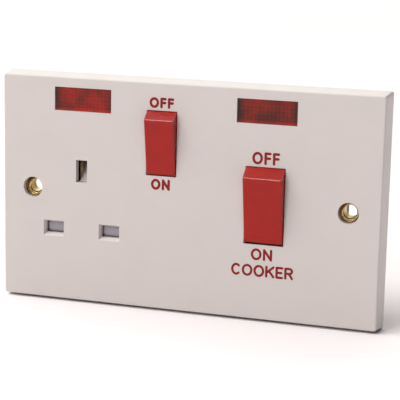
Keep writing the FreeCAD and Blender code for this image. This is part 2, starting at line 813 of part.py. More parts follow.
def clamp_screws():
    screws = []
    for x, z0, _ in terminal_spots:
        screws += [clamp_screw(x, z) for z in clamp_heights(z0)]
    return Part.makeCompound(screws)


def base_screw(x, z):
    """Screw that holds a base to a boss of the plate."""
    seat_y = base_depth - 1.9
    shank = cyl_y(x, z, base_screw_radius, inner_y + 0.4, seat_y + 0.2)
    head = cyl_y(x, z, base_screw_head, seat_y, seat_y + 1.6)
    slot = box(x - 2.2, x + 2.2, seat_y + 0.8, base_depth, z - 0.4, z + 0.4)
    cross = box(x - 0.4, x + 0.4, seat_y + 0.8, base_depth, z - 2.2, z + 2.2)
    return fuse([shank, head]).cut(fuse([slot, cross]))


# Socket contacts and links

def clip(x, z, along_x, bridge_side, length):
    """Sprung pair of leaves that grips a pin, joined by a bridge at one end."""
    waist_y = clip_front_y + 3.5
    grip = clip_gap / 2
    mouth = clip_mouth / 2
    leaf = [(mouth, clip_front_y), (grip, waist_y), (grip + 0.2, strip_front),
            (grip + 0.2 + clip_leaf, strip_front), (grip + clip_leaf, waist_y),
            (mouth + clip_leaf, clip_front_y)]
    half = length / 2
    end = sorted((bridge_side * (half - 0.2), bridge_side * (half + clip_leaf)))
    wide = grip + clip_leaf
    shapes = []
    for side in (-1, 1):
        if along_x:
            shapes.append(prism_x([(y, z + side * gap) for gap, y in leaf], x - half, x + half))
        else:
            shapes.append(prism_z([(x + side * gap, y) for gap, y in leaf], z - half, z + half))
    if along_x:
        shapes.append(box(x + end[0], x + end[1], waist_y, strip_front, z - wide, z + wide))
    else:
        shapes.append(box(x - wide, x + wide, waist_y, strip_front, z + end[0], z + end[1]))
    return fuse(shapes)


link_z = (line_pin_z - live_link_drop, line_pin_z - live_link_drop + live_link_width)
neutral_link_z = (-cooker_block_end, -cooker_block_end + neutral_link_width)
live_rise_x = (socket_switch_x - live_rise_offset, socket_switch_x - live_rise_offset + live_rise_width)


def socket_live_contact():
    """Fixed contact of the socket switch, its strip down the base, and the live clip."""
    spot_z = socket_switch_z + contact_spot()[1]
    pad = strip(live_rise_x[0], socket_switch_x + strip_width / 2, spot_z - pad_half, spot_z + pad_half)
    rise = strip(live_rise_x[0], live_rise_x[1], line_pin_z - live_foot_half, spot_z + pad_half)
    foot = strip(live_pin_x + clip_end - 1.6, live_rise_x[1],
                 line_pin_z - live_foot_half, line_pin_z + live_foot_half)
    grip = clip(live_pin_x, line_pin_z, True, 1, clip_length)
    return fuse([pad, rise, foot, grip, fixed_contact(socket_switch_x, socket_switch_z)])


def socket_neutral_contact():
    tail_x = neutral_pin_x - clip_end
    tail = strip(tail_x, tail_x + neutral_tail_width, neutral_link_z[0], line_pin_z + neutral_tail_rise)
    return fuse([tail, clip(neutral_pin_x, line_pin_z, True, -1, clip_length)])


def socket_earth_contact():
    return clip(socket_x, earth_pin_z, False, 1, earth_slot_height + 2 * slide_gap)


link_front = strip_front - live_link_step
link_step_x = socket_base_right - base_wall - live_link_inset


def socket_live_link():
    """Strip from the live supply block, forward past the neutral block, to the socket switch's fulcrum."""
    half = strip_width / 2
    upright = strip(socket_switch_x - half, socket_switch_x + half, link_z[0], socket_switch_z + 1.6)
    run = strip(socket_switch_x - half, link_step_x, link_z[0], link_z[1])
    step = box(link_step_x - strip_thickness, link_step_x, link_front, strip_back, link_z[0], link_z[1])
    forward = box(link_step_x - strip_thickness, live_block_x, link_front, link_front + strip_thickness,
                  link_z[0], link_z[1])
    foot = box(live_block_x - strip_thickness, live_block_x, link_front, strip_front, link_z[0], link_z[1])
    return fuse([upright, run, step, forward, foot] + fulcrum(socket_switch_x, socket_switch_z))


def socket_neutral_link():
    """Strip from the neutral supply block to the tail of the neutral contact."""
    return box(neutral_pin_x - clip_end, neutral_block_x - block_width / 2,
               strip_back, strip_back + strip_thickness, neutral_link_z[0], neutral_link_z[1])


# Shutter

shutter_front = inner_y + slide_gap
shutter_back = shutter_front + shutter_thickness
shutter_foot = line_pin_z - line_slot_height / 2 - shutter_cover
shutter_top = line_pin_z + line_slot_height / 2 + shutter_cover
ramp_low = earth_pin_z - earth_slot_height / 2
spring_y = shutter_front + shutter_thickness / 2
seat_z = shutter_foot - shutter_spring_length
socket_base_foot = min(seat_z - spring_seat_height, neutral_link_z[0] - slide_gap - base_wall)


def shutter():
    """Cross bar behind the flat pin slots, stem, and the ramp that the earth pin pushes down."""
    bar = box(socket_x - shutter_half_width, socket_x + shutter_half_width, shutter_front, shutter_back,
              shutter_foot, shutter_top)
    stem = box(socket_x - shutter_stem_half, socket_x + shutter_stem_half, shutter_front, shutter_back,
               shutter_top - 0.5, ramp_low - 0.3)
    ramp = prism_x([(shutter_front, ramp_low - 3.0), (shutter_front, ramp_low),
                    (shutter_front + shutter_ramp_depth - 0.6, ramp_low + shutter_stroke),
                    (shutter_front + shutter_ramp_depth, ramp_low + shutter_stroke),
                    (shutter_front + shutter_ramp_depth, ramp_low + shutter_stroke - 1.4),
                    (shutter_back, ramp_low - 1.4), (shutter_back, ramp_low - 3.0)],
                   socket_x - shutter_ramp_half, socket_x + shutter_ramp_half)
    return fuse([bar, stem, ramp])


def shutter_spring():
    spring = coil(shutter_spring_radius, 0.22, shutter_spring_length, 8)
    spring.translate(Vector(socket_x, spring_y, seat_z))
    return spring


# Bases

def base_shell(outline):
    """Tray that opens to the plate, with rounded outer edges."""
    body = prism_y(outline, 0.0, base_depth)
    edges = [edge for edge in body.Edges if any(vertex.Y > 1e-6 for vertex in edge.Vertexes)]
    body = body.makeFillet(base_edge_round, edges)
    inner = face_of([Vector(x, 0.0, z) for x, z in outline]).makeOffset2D(-base_wall)
    hollow = inner.extrude(Vector(0, base_inner_y + 1.0, 0))
    hollow.translate(Vector(0, -1.0, 0))
    return body.cut(hollow)


def pillar(x, z):
    return cyl_y(x, z, pillar_radius, 0.0, base_inner_y + 0.5)


def rib(x0, x1, z0, z1, y0=strip_back):
    return box(x0, x1, y0, base_inner_y + 0.5, z0, z1)


def screw_ways(pillars):
    """Holes for the screws that hold a base."""
    cuts = []
    for x, z in pillars:
        cuts.append(cyl_y(x, z, base_screw_radius + screw_gap, -1.0, base_depth + 1))
        cuts.append(cyl_y(x, z, base_screw_head + slide_gap, base_depth - 1.9, base_depth + 1))
    return cuts


def terminal_ways(spots):
    """Cable entries through the outer wall and driver holes through the back."""
    cuts = []
    for x, z0, side in spots:
        end = z0 + block_length if side > 0 else z0
        ends = sorted((end, end + side * (base_wall + 2.0)))
        cuts.append(cyl_z(x, cable_y, cable_radius + 0.6, ends[0], ends[1]))
        for z in clamp_heights(z0):
            cuts.append(cyl_y(x, z, clamp_head_radius + slide_gap, base_inner_y - 0.01, base_depth + 1))
    return cuts


def block_seat(x, z0):
    """Room that the ribs leave for a terminal block."""
    half = block_width / 2 + side_gap
    return box(x - half, x + half, strip_front, base_inner_y, z0 - side_gap, z0 + block_length + side_gap)


def saddles(rocker):
    """Posts that close the trunnion bearings from behind."""
    return trunnion_lugs(rocker, pivot_y + running_gap, base_inner_y + 0.5)


def wire_hole(x, y, z0, z1):
    return cyl_z(x, y, lead_radius + wire_gap, z0, z1)


def cooker_base():
    outline = [(cooker_base_left, -cooker_base_half), (wing_reach, -cooker_base_half), (wing_reach, wing_top),
               (cooker_base_right, wing_top), (cooker_base_right, cooker_base_half),
               (cooker_base_left, cooker_base_half)]
    added = [base_shell(outline)]
    added += [pillar(x, z) for x, z in cooker_pillars]
    added += saddles(cooker_rocker)
    spot_z = contact_spot()[1]
    for x in pole_xs:
        for z in (cooker_switch_z, cooker_switch_z + spot_z):
            added.append(rib(x - rib_half, x + rib_half, z - rib_half, z + rib_half))
    added.append(rib(cooker_switch_x - barrier_width / 2, cooker_switch_x + barrier_width / 2,
                     cooker_switch_z - barrier_half, cooker_switch_z + barrier_half,
                     fulcrum_y - barrier_rise))
    shell = fuse(added)
    cuts = screw_ways(cooker_pillars) + terminal_ways(terminal_spots[:5])
    cuts += [block_seat(x, z0) for x, z0, _ in terminal_spots[:5]]
    cuts.append(box(cooker_base_left - 1, cooker_base_left + base_wall + 1, link_front - slide_gap,
                    link_front + strip_thickness + slide_gap, link_z[0] - slide_gap, link_z[1] + slide_gap))
    cuts.append(box(cooker_base_left - 1, cooker_base_left + base_wall + 1, strip_back - slide_gap,
                    strip_back + strip_thickness + slide_gap, neutral_link_z[0] - slide_gap,
                    neutral_link_z[1] + slide_gap))
    wall_z = cooker_base_half - base_wall - 1
    cuts.append(wire_hole(cooker_live_exit[0], lead_y, wall_z, cooker_base_half + 1))
    cuts.append(wire_hole(neutral_block_x, lead_y - lead_step, wall_z, cooker_base_half + 1))
    return shell.cut(fuse(cuts))


def socket_base():
    outline = [(socket_wing_x, socket_base_foot), (socket_base_right, socket_base_foot),
               (socket_base_right, socket_tower_top), (socket_tower_left, socket_tower_top),
               (socket_tower_left, socket_base_top), (socket_base_left, socket_base_top),
               (socket_base_left, socket_wing_top), (socket_wing_x, socket_wing_top)]
    added = [base_shell(outline)]
    added += [pillar(x, z) for x, z in socket_pillars]
    added += saddles(socket_rocker)
    spot_z = socket_switch_z + contact_spot()[1]
    x = socket_switch_x
    for z in (socket_switch_z, spot_z):
        added.append(rib(x - rib_half, x + rib_half, z - rib_half, z + rib_half))
    added.append(rib(live_pin_x + clip_end - 1.0, live_rise_x[1] - 1.0,
                     line_pin_z - rib_half, line_pin_z + rib_half))
    added.append(rib(neutral_pin_x - 2.0, neutral_pin_x + 2.0, line_pin_z - 2.0, line_pin_z + 2.0))
    added.append(rib(socket_x - 5.4, socket_x + 3.4, earth_block_z - 2.2, earth_block_z - 0.2))
    rail_y = shutter_back + slide_gap
    for side in (-1, 1):
        x0, x1 = sorted((socket_x + side * rail_offset, socket_x + side * (rail_offset + rail_width)))
        added.append(rib(x0, x1, line_pin_z - rail_drop, line_pin_z + rail_rise, rail_y))
    added.append(box(socket_x - shutter_stem_half, socket_x + shutter_stem_half, shutter_front, lead_y,
                     socket_base_foot + base_edge_round, seat_z))
    shell = fuse(added)
    cuts = screw_ways(socket_pillars) + terminal_ways(terminal_spots[5:])
    cuts += [block_seat(x, z0) for x, z0, _ in terminal_spots[5:]]
    cuts.append(box(socket_base_right - base_wall - 1, socket_base_right + 1, link_front - slide_gap,
                    link_front + strip_thickness + slide_gap, link_z[0] - slide_gap, link_z[1] + slide_gap))
    cuts.append(box(socket_base_right - base_wall - 1, socket_base_right + 1, strip_back - slide_gap,
                    strip_back + strip_thickness + slide_gap, neutral_link_z[0] - slide_gap,
                    neutral_link_z[1] + slide_gap))
    cuts.append(box(neutral_pin_x - clip_end - slide_gap, socket_base_right, strip_back - slide_gap,
                    strip_back + strip_thickness + slide_gap, neutral_link_z[0] - slide_gap,
                    neutral_link_z[1] + slide_gap))
    for y, z in ((lead_y - lead_rank, pad_z + live_lead_rise), (lead_y, socket_base_top + lead_over_tray)):
        cuts.append(cyl_x(y, z, lead_radius + wire_gap,
                          socket_tower_left - 1, socket_tower_left + base_wall + 1))
    return shell.cut(fuse(cuts))


# Write every piece

def build():
    pieces = {
        "front_plate": front_plate(),
        "fixing_eyelet_left": fixing_eyelet(fixing_xs[0]),
        "fixing_eyelet_right": fixing_eyelet(fixing_xs[1]),
        "earth_strap_left": earth_strap(fixing_xs[0], *earth_strap_corner),
        "earth_strap_right": earth_strap(fixing_xs[1], *cooker_strap_corner),
        "socket_neon_lens": neon_lens(socket_neon_x),
        "cooker_neon_lens": neon_lens(cooker_switch_x),
        "socket_neon_retainer": neon_retainer(socket_neon_x),
        "cooker_neon_retainer": neon_retainer(cooker_switch_x),
        "socket_neon_lamp": neon_lamp(socket_neon_x),
        "cooker_neon_lamp": neon_lamp(cooker_switch_x),
        "socket_neon_live_lead": neon_lead(socket_neon_x, lead_exits[0], socket_live_path),
        "socket_neon_neutral_lead": neon_lead(socket_neon_x, lead_exits[1], socket_neutral_path),
        "cooker_neon_live_lead": neon_lead(cooker_switch_x, lead_exits[0], cooker_live_path),
        "cooker_neon_neutral_lead": neon_lead(cooker_switch_x, lead_exits[1], cooker_neutral_path),
        "socket_neon_resistor": resistor(riser_x, lead_y, earth_pin_z),
        "cooker_neon_resistor": resistor(neutral_block_x, lead_y - lead_step,
                                         cooker_block_end - neutral_resistor_drop),
        "cooker_switch_base": cooker_base(),
        "socket_base": socket_base(),
        "load_live_terminal": load_terminal(live_block_x, pole_xs[1]),
        "load_neutral_terminal": load_terminal(neutral_block_x, pole_xs[0]),
        "supply_live_terminal": supply_terminal(live_block_x, pole_xs[1]),
        "supply_neutral_terminal": supply_terminal(neutral_block_x, pole_xs[0]),
        "cooker_earth_terminal": cooker_earth_terminal(),
        "socket_earth_terminal": socket_earth_terminal(),
        "terminal_screws": clamp_screws(),
        "base_screws": Part.makeCompound([base_screw(x, z) for x, z in cooker_pillars + socket_pillars]),
        "socket_live_contact": socket_live_contact(),
        "socket_neutral_contact": socket_neutral_contact(),
        "socket_earth_contact": socket_earth_contact(),
        "socket_live_link": socket_live_link(),
        "socket_neutral_link": socket_neutral_link(),
        "shutter": shutter(),
        "shutter_spring": shutter_spring(),
    }
    mechanisms = (
        ("cooker_neutral", cooker_rocker, cooker_rocker.poles[0]),
        ("cooker_live", cooker_rocker, cooker_rocker.poles[1]),
        ("socket_live", socket_rocker, socket_rocker.poles[0]),
    )
    pieces["cooker_rocker"] = in_rocker(rocker_shape(cooker_rocker), cooker_rocker)
    pieces["socket_rocker"] = in_rocker(rocker_shape(socket_rocker), socket_rocker)
    for name, rocker, pole in mechanisms:
        pieces[name + "_plunger"] = in_rocker(plunger(pole), rocker)
        pieces[name + "_spring"] = in_rocker(plunger_spring(pole), rocker)
        pieces[name + "_bar"] = turned(contact_bar(), -bar_ratio * rocker_tilt,
                                       rocker.x + pole, fulcrum_y, rocker.z)
    for name, shape in pieces.items():
        shape.exportStep("parts/" + name + ".step")


build()
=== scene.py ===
import bpy
import bmesh
import json
import math
from mathutils import Matrix, Vector


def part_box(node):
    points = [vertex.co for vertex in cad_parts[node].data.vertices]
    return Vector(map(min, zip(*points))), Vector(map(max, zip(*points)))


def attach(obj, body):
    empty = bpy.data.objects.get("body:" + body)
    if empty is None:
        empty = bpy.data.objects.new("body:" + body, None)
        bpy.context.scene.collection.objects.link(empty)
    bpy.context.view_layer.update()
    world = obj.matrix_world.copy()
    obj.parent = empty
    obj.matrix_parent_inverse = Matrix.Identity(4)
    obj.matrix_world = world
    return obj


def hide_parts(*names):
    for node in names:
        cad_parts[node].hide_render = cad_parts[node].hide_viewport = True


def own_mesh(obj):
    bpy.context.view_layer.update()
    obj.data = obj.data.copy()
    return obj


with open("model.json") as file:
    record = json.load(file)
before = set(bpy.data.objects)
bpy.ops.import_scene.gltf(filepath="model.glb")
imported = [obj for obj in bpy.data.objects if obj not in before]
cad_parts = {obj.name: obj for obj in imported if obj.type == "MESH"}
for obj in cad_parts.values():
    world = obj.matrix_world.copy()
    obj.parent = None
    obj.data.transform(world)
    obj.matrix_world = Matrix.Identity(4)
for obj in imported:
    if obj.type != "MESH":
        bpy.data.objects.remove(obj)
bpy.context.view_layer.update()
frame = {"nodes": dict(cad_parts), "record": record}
nodes = frame["nodes"]
MM = 0.001

# Sizes that the added pieces share with the solids, in metres, and the lean of the rockers at rest
FRONT = -8.5 * MM
NEON_HALF = (11.1 * MM, 4.35 * MM)
COOKER_PIVOT = Vector((29.75, -3.5, 0.0)) * MM
SOCKET_PIVOT = Vector((-9.55, -3.5, 19.95)) * MM
TILT = math.radians(10.0)


def add_object(name, data):
    piece = bpy.data.objects.new(name, data)
    bpy.context.scene.collection.objects.link(piece)
    return piece


def add_mesh(name, mesh, material):
    data = bpy.data.meshes.new(name)
    mesh.to_mesh(data)
    mesh.free()
    data.materials.append(material)
    return add_object(name, data)


def box_centre(low, high):
    return [(near + far) / 2 for near, far in zip(low, high)]


# Camera at the viewing angle of the photograph, for a square picture

CAMERA_TURN = (17.4779, 11.6129, 1.2487)  # yaw, pitch and roll in degrees
CAMERA_TARGET = (2.8931, 0.0, -1.49)  # in millimetres
CAMERA_DISTANCE = 541.068  # in millimetres
FOCAL_PIXELS, PICTURE_PIXELS = 1467.965, 400.0
SENSOR_WIDTH = 36.0


def make_camera():
    yaw, pitch, roll = (math.radians(a) for a in CAMERA_TURN)
    back = Vector((math.sin(yaw) * math.cos(pitch), -math.cos(yaw) * math.cos(pitch),
                   math.sin(pitch)))
    right = Vector((math.cos(yaw), math.sin(yaw), 0.0))
    up = back.cross(right)
    rolled_right = right * math.cos(roll) + up * math.sin(roll)
    rolled_up = up * math.cos(roll) - right * math.sin(roll)
    place = Vector(CAMERA_TARGET) * MM + back * CAMERA_DISTANCE * MM
    data = bpy.data.cameras.new("camera")
    data.sensor_fit = "HORIZONTAL"
    data.sensor_width = SENSOR_WIDTH
    data.lens = SENSOR_WIDTH * FOCAL_PIXELS / PICTURE_PIXELS
    data.clip_start = 0.01
    data.clip_end = 50.0
    camera = add_object("camera", data)
    turn = Matrix((rolled_right, rolled_up, back)).transposed().to_4x4()
    camera.matrix_world = Matrix.Translation(place) @ turn
    bpy.context.scene.camera = camera


# Materials: every surface takes its variation from noise in the object's own space

class Surface:
    def __init__(self, name, **sockets):
        self.material = bpy.data.materials.new(name)
        self.material.use_nodes = True
        self.tree = self.material.node_tree
        self.tree.nodes.clear()
        output = self.add("ShaderNodeOutputMaterial")
        self.shader = self.add("ShaderNodeBsdfPrincipled")
        self.link(self.shader.outputs["BSDF"], output.inputs["Surface"])
        for key, value in sockets.items():
            self.shader.inputs[key.replace("_", " ")].default_value = value
        self.coordinates = self.add("ShaderNodeTexCoord").outputs["Object"]
        self.normal = None

    def add(self, kind):
        return self.tree.nodes.new(kind)

    def link(self, source, target):
        self.tree.links.new(source, target)

    def noise(self, size, detail, roughness, stretch=None):
        """Noise whose grains are about size metres wide."""
        node = self.add("ShaderNodeTexNoise")
        node.inputs["Scale"].default_value = 1.0 / size
        node.inputs["Detail"].default_value = detail
        node.inputs["Roughness"].default_value = roughness
        source = self.coordinates
        if stretch:
            mapping = self.add("ShaderNodeMapping")
            mapping.inputs["Scale"].default_value = stretch
            self.link(source, mapping.inputs["Vector"])
            source = mapping.outputs["Vector"]
        self.link(source, node.inputs["Vector"])
        return node.outputs["Fac"]

    def ramp(self, source, stops):
        node = self.add("ShaderNodeValToRGB")
        elements = node.color_ramp.elements
        while len(elements) < len(stops):
            elements.new(0.5)
        for element, (place, colour) in zip(elements, stops):
            element.position = place
            element.color = (*colour, 1.0)
        self.link(source, node.inputs["Fac"])
        return node.outputs["Color"]

    def span(self, source, low, high, start=0.3, end=0.7):
        """From low where the source is at start to high where it is at end. Noise fills 0.3 to 0.7."""
        node = self.add("ShaderNodeMapRange")
        node.inputs["From Min"].default_value = start
        node.inputs["From Max"].default_value = end
        node.inputs["To Min"].default_value = low
        node.inputs["To Max"].default_value = high
        self.link(source, node.inputs["Value"])
        return node.outputs["Result"]

    def spread(self, source, reach):
        """Noise as an offset of up to reach either way."""
        return self.span(source, -reach, reach)

    def math(self, operation, *values):
        node = self.add("ShaderNodeMath")
        node.operation = operation
        for socket, value in zip(node.inputs, values):
            if isinstance(value, float):
                socket.default_value = value
            else:
                self.link(value, socket)
        return node.outputs[0]

    def total(self, first, *others):
        for other in others:
            first = self.math("ADD", first, other)
        return first

    def split(self, vector):
        node = self.add("ShaderNodeSeparateXYZ")
        self.link(vector, node.inputs["Vector"])
        return node.outputs

    def axes(self, centre, width, height, shift=0.0):
        """X and Z measured from a centre, in steps of width and height."""
        node = self.add("ShaderNodeMapping")
        node.inputs["Location"].default_value = (
            shift - centre[0] / width, 0.0, shift - centre[2] / height)
        node.inputs["Scale"].default_value = (1 / width, 1.0, 1 / height)
        self.link(self.coordinates, node.inputs["Vector"])
        parts = self.split(node.outputs["Vector"])
        return parts["X"], parts["Z"]

    def height(self):
        """Z above the middle of the plate."""
        return self.split(self.coordinates)["Z"]

    def colour(self, source, stops):
        self.link(self.ramp(source, stops), self.shader.inputs["Base Color"])

    def rough(self, source, low, high):
        self.link(self.span(source, low, high), self.shader.inputs["Roughness"])

    def bump(self, source, strength, depth):
        node = self.add("ShaderNodeBump")
        node.inputs["Strength"].default_value = strength
        node.inputs["Distance"].default_value = depth
        self.link(source, node.inputs["Height"])
        if self.normal:
            self.link(self.normal, node.inputs["Normal"])
        self.normal = node.outputs["Normal"]
        self.link(self.normal, self.shader.inputs["Normal"])

    def soften(self, radius):
        """Round the look of sharp edges."""
        node = self.add("ShaderNodeBevel")
        node.samples = 6
        node.inputs["Radius"].default_value = radius
        self.normal = node.outputs["Normal"]
        self.link(self.normal, self.shader.inputs["Normal"])

    def flatness(self):
        """1 on flat ground, less where the softened normal leans away from the face."""
        node = self.add("ShaderNodeVectorMath")
        node.operation = "DOT_PRODUCT"
        self.link(self.normal, node.inputs[0])
        self.link(self.add("ShaderNodeNewGeometry").outputs["True Normal"], node.inputs[1])
        return node.outputs["Value"]


def shade(colour, factor):
    return tuple(min(1.0, channel * factor) for channel in colour)


def moulded(name, colour, roughness, edge=0.12 * MM):
    """Moulded plastic: faint mottling, uneven gloss and a fine skin texture."""
    surface = Surface(name)
    surface.soften(edge)
    surface.colour(surface.noise(9 * MM, detail=5.0, roughness=0.6), [
        (0.30, shade(colour, 0.97)),
        (0.52, colour),
        (0.74, shade(colour, 1.03))])
    gloss = surface.noise(4 * MM, detail=6.0, roughness=0.65)
    surface.rough(gloss, roughness - 0.05, roughness + 0.06)
    skin = surface.noise(0.5 * MM, detail=3.0, roughness=0.5)
    surface.bump(skin, strength=0.35, depth=0.004 * MM)
    return surface.material


def metal(name, colour, dull, roughness, stretch=None):
    """Pressed or turned metal with smudges and fine tool marks."""
    surface = Surface(name, Metallic=1.0)
    surface.soften(0.08 * MM)
    surface.colour(surface.noise(3 * MM, detail=6.0, roughness=0.65), [
        (0.28, dull),
        (0.55, colour),
        (0.80, shade(colour, 1.1))])
    gloss = surface.noise(1.2 * MM, detail=5.0, roughness=0.7, stretch=stretch)
    surface.rough(gloss, roughness - 0.08, roughness + 0.12)
    marks = surface.noise(0.25 * MM, detail=4.0, roughness=0.6, stretch=stretch)
    surface.bump(marks, strength=0.3, depth=0.004 * MM)
    return surface.material


def plate_material():
    """Pale moulding with a fine skin and faint waves."""
    plate = (0.560, 0.516, 0.499)
    surface = Surface("plate_moulding", Specular_IOR_Level=0.45)
    surface.soften(0.22 * MM)
    surface.colour(surface.noise(14 * MM, detail=6.0, roughness=0.62), [
        (0.25, shade(plate, 0.975)),
        (0.50, plate),
        (0.78, shade(plate, 1.02))])
    surface.rough(surface.noise(5 * MM, detail=6.0, roughness=0.65), 0.28, 0.40)
    skin = surface.noise(0.45 * MM, detail=3.0, roughness=0.5)
    surface.bump(skin, strength=0.35, depth=0.006 * MM)
    waves = surface.noise(7 * MM, detail=2.0, roughness=0.5)
    surface.bump(waves, strength=0.10, depth=0.03 * MM)
    return surface.material


def rocker_material():
    """Glossy red moulding, polished by use along the edges that face up."""
    red = (0.318, 0.0066, 0.0026)
    surface = Surface("red_plastic", Specular_IOR_Level=0.28, Coat_Roughness=0.12, Coat_IOR=2.1)
    surface.soften(0.55 * MM)
    upward = surface.span(surface.split(surface.normal)["Z"], 0.0, 1.0, start=0.0, end=0.18)
    edges = surface.span(surface.flatness(), 1.0, 0.0, start=0.92, end=0.99)
    surface.link(surface.math("MULTIPLY", upward, edges), surface.shader.inputs["Coat Weight"])
    surface.link(surface.normal, surface.shader.inputs["Coat Normal"])
    surface.colour(surface.noise(6 * MM, detail=5.0, roughness=0.6), [
        (0.30, shade(red, 0.92)),
        (0.52, red),
        (0.75, shade(red, 1.07))])
    surface.rough(surface.noise(5 * MM, detail=2.0, roughness=0.5), 0.14, 0.19)
    skin = surface.noise(0.5 * MM, detail=3.0, roughness=0.5)
    surface.bump(skin, strength=0.20, depth=0.0015 * MM)
    return surface.material


PRISM_PITCH = 1.45 * MM
# Painted light of each lens: the level of its red runs from dim to bright in patches
LENS_PAINTED_GLOW = {"socket_neon_lens": (0.41, 0.81), "cooker_neon_lens": (0.26, 0.62)}


def lens_material(name, low, high, dim, bright):
    """Red plastic with painted light: brighter and dimmer painted patches, rows of small prisms as
    painted dark dots of shade, darker ends and a painted brighter foot.
    """
    surface = Surface(name, Specular_IOR_Level=0.24)
    centre = box_centre(low, high)
    rows = surface.axes(centre, PRISM_PITCH, PRISM_PITCH, shift=0.5)
    dots = surface.math("MINIMUM", *[surface.math("PINGPONG", row, 0.5) for row in rows])
    across, up = surface.axes(centre, *NEON_HALF)
    ends = surface.span(surface.math("ABSOLUTE", across), 0.0, 0.36, start=0.74, end=1.0)
    # Painted light: the foot is painted brighter, and the dots of the prisms above it are painted
    # shade
    foot = surface.span(up, 0.30, 0.0, start=-0.92, end=-0.70)
    field = surface.span(up, 0.0, -1.0, start=-0.92, end=-0.66)
    patches = surface.noise(7 * MM, detail=2.0, roughness=0.5)
    painted_glow = surface.span(patches, dim, bright, start=0.35, end=0.65)
    grain = surface.spread(surface.noise(0.9 * MM, detail=3.0, roughness=0.6), 0.07)
    painted_dot_shade = surface.math("MULTIPLY", surface.span(dots, 0.0, 0.24, start=0.15, end=0.42), field)
    level = surface.math("SUBTRACT", surface.total(painted_glow, grain, painted_dot_shade, foot), ends)
    surface.colour(level, [
        (0.00, (0.030, 0.008, 0.005)),
        (0.30, (0.095, 0.011, 0.006)),
        (0.60, (0.230, 0.010, 0.005)),
        (0.95, (0.390, 0.012, 0.006))])
    surface.rough(surface.noise(2 * MM, detail=5.0, roughness=0.6), 0.16, 0.26)
    surface.bump(dots, strength=0.2, depth=0.04 * MM)
    return surface.material


def eyelet_material(name, low, high):
    """Brass cup, bright in its bore, with painted shade in dark brown: a ring round the bore, the wall
    of the cup and the upper left of the ring.
    """
    surface = Surface(name, Metallic=0.85)
    surface.soften(0.10 * MM)
    across, up = surface.axes(box_centre(low, high), MM, MM)
    squares = [surface.math("MULTIPLY", line, line) for line in (across, up)]
    radius = surface.math("SQRT", surface.math("ADD", *squares))
    stain = surface.spread(surface.noise(0.9 * MM, detail=5.0, roughness=0.65), 0.05)
    # Painted shade: the upper left of the ring is pushed towards the dark brown bands
    upper_left = surface.math("SUBTRACT", surface.math("MULTIPLY", up, 0.85),
                              surface.math("MULTIPLY", across, 0.5))
    ring = surface.span(radius, 0.0, 1.0, start=2.40, end=2.47)
    painted_upper_left_shade = surface.math("MULTIPLY", surface.span(upper_left, 0.0, 0.62, start=0.2, end=2.4), ring)
    place = surface.total(radius, stain, painted_upper_left_shade)
    # The dark brown bands are painted shade, round the bore and on the wall of the cup
    surface.colour(surface.span(place, 0.0, 1.0, start=2.0, end=4.0), [
        (0.212, (1.00, 0.840, 0.480)),
        (0.235, (0.13, 0.075, 0.030)),
        (0.375, (0.16, 0.090, 0.035)),
        (0.430, (1.00, 0.860, 0.500)),
        (0.590, (1.00, 0.820, 0.450)),
        (0.680, (0.30, 0.180, 0.080)),
        (0.840, (0.14, 0.080, 0.040))])
    rubbed = surface.spread(surface.noise(0.8 * MM, detail=5.0, roughness=0.7), 0.07)
    gloss = surface.math("ADD", surface.span(radius, 0.62, 0.26, start=2.35, end=2.6), rubbed)
    surface.link(gloss, surface.shader.inputs["Roughness"])
    marks = surface.noise(0.25 * MM, detail=4.0, roughness=0.6)
    surface.bump(marks, strength=0.25, depth=0.004 * MM)
    return surface.material


def shutter_material():
    """Grey moulding with painted light: pale up at the earth ramp, painted shade lower down on the
    line shutters, and painted shade along the edges of the line slots.
    """
    surface = Surface("shutter_plastic", Specular_IOR_Level=0.35)
    surface.soften(0.12 * MM)
    # Height with a noise wobble, which places the painted light and shade
    painted_light_wobble = surface.spread(surface.noise(1.5 * MM, detail=4.0, roughness=0.6), MM)
    painted_light_height = surface.math("ADD", surface.height(), painted_light_wobble)
    # Painted shade: an occlusion node darkens the line shutters along the edges of the slots
    corner = surface.add("ShaderNodeAmbientOcclusion")
    corner.samples = 12
    corner.inputs["Distance"].default_value = 1.3 * MM
    tint = surface.add("ShaderNodeMix")
    tint.data_type = "RGBA"
    tint.blend_type = "MULTIPLY"
    below_ramp = surface.span(surface.height(), 1.0, 0.0, start=-4 * MM, end=0.0)
    surface.link(below_ramp, tint.inputs["Factor"])
    surface.link(surface.ramp(surface.span(painted_light_height, 0.0, 1.0, start=-7 * MM, end=4 * MM), [
        (0.10, (0.38, 0.35, 0.395)),
        (0.80, (0.84, 0.75, 0.73))]), tint.inputs["A"])
    surface.link(surface.ramp(corner.outputs["AO"], [
        (0.50, (0.14, 0.13, 0.13)),
        (0.88, (1.0, 1.0, 1.0))]), tint.inputs["B"])
    surface.link(tint.outputs["Result"], surface.shader.inputs["Base Color"])
    surface.rough(surface.noise(4 * MM, detail=6.0, roughness=0.65), 0.40, 0.52)
    skin = surface.noise(0.5 * MM, detail=3.0, roughness=0.5)
    surface.bump(skin, strength=0.35, depth=0.004 * MM)
    return surface.material


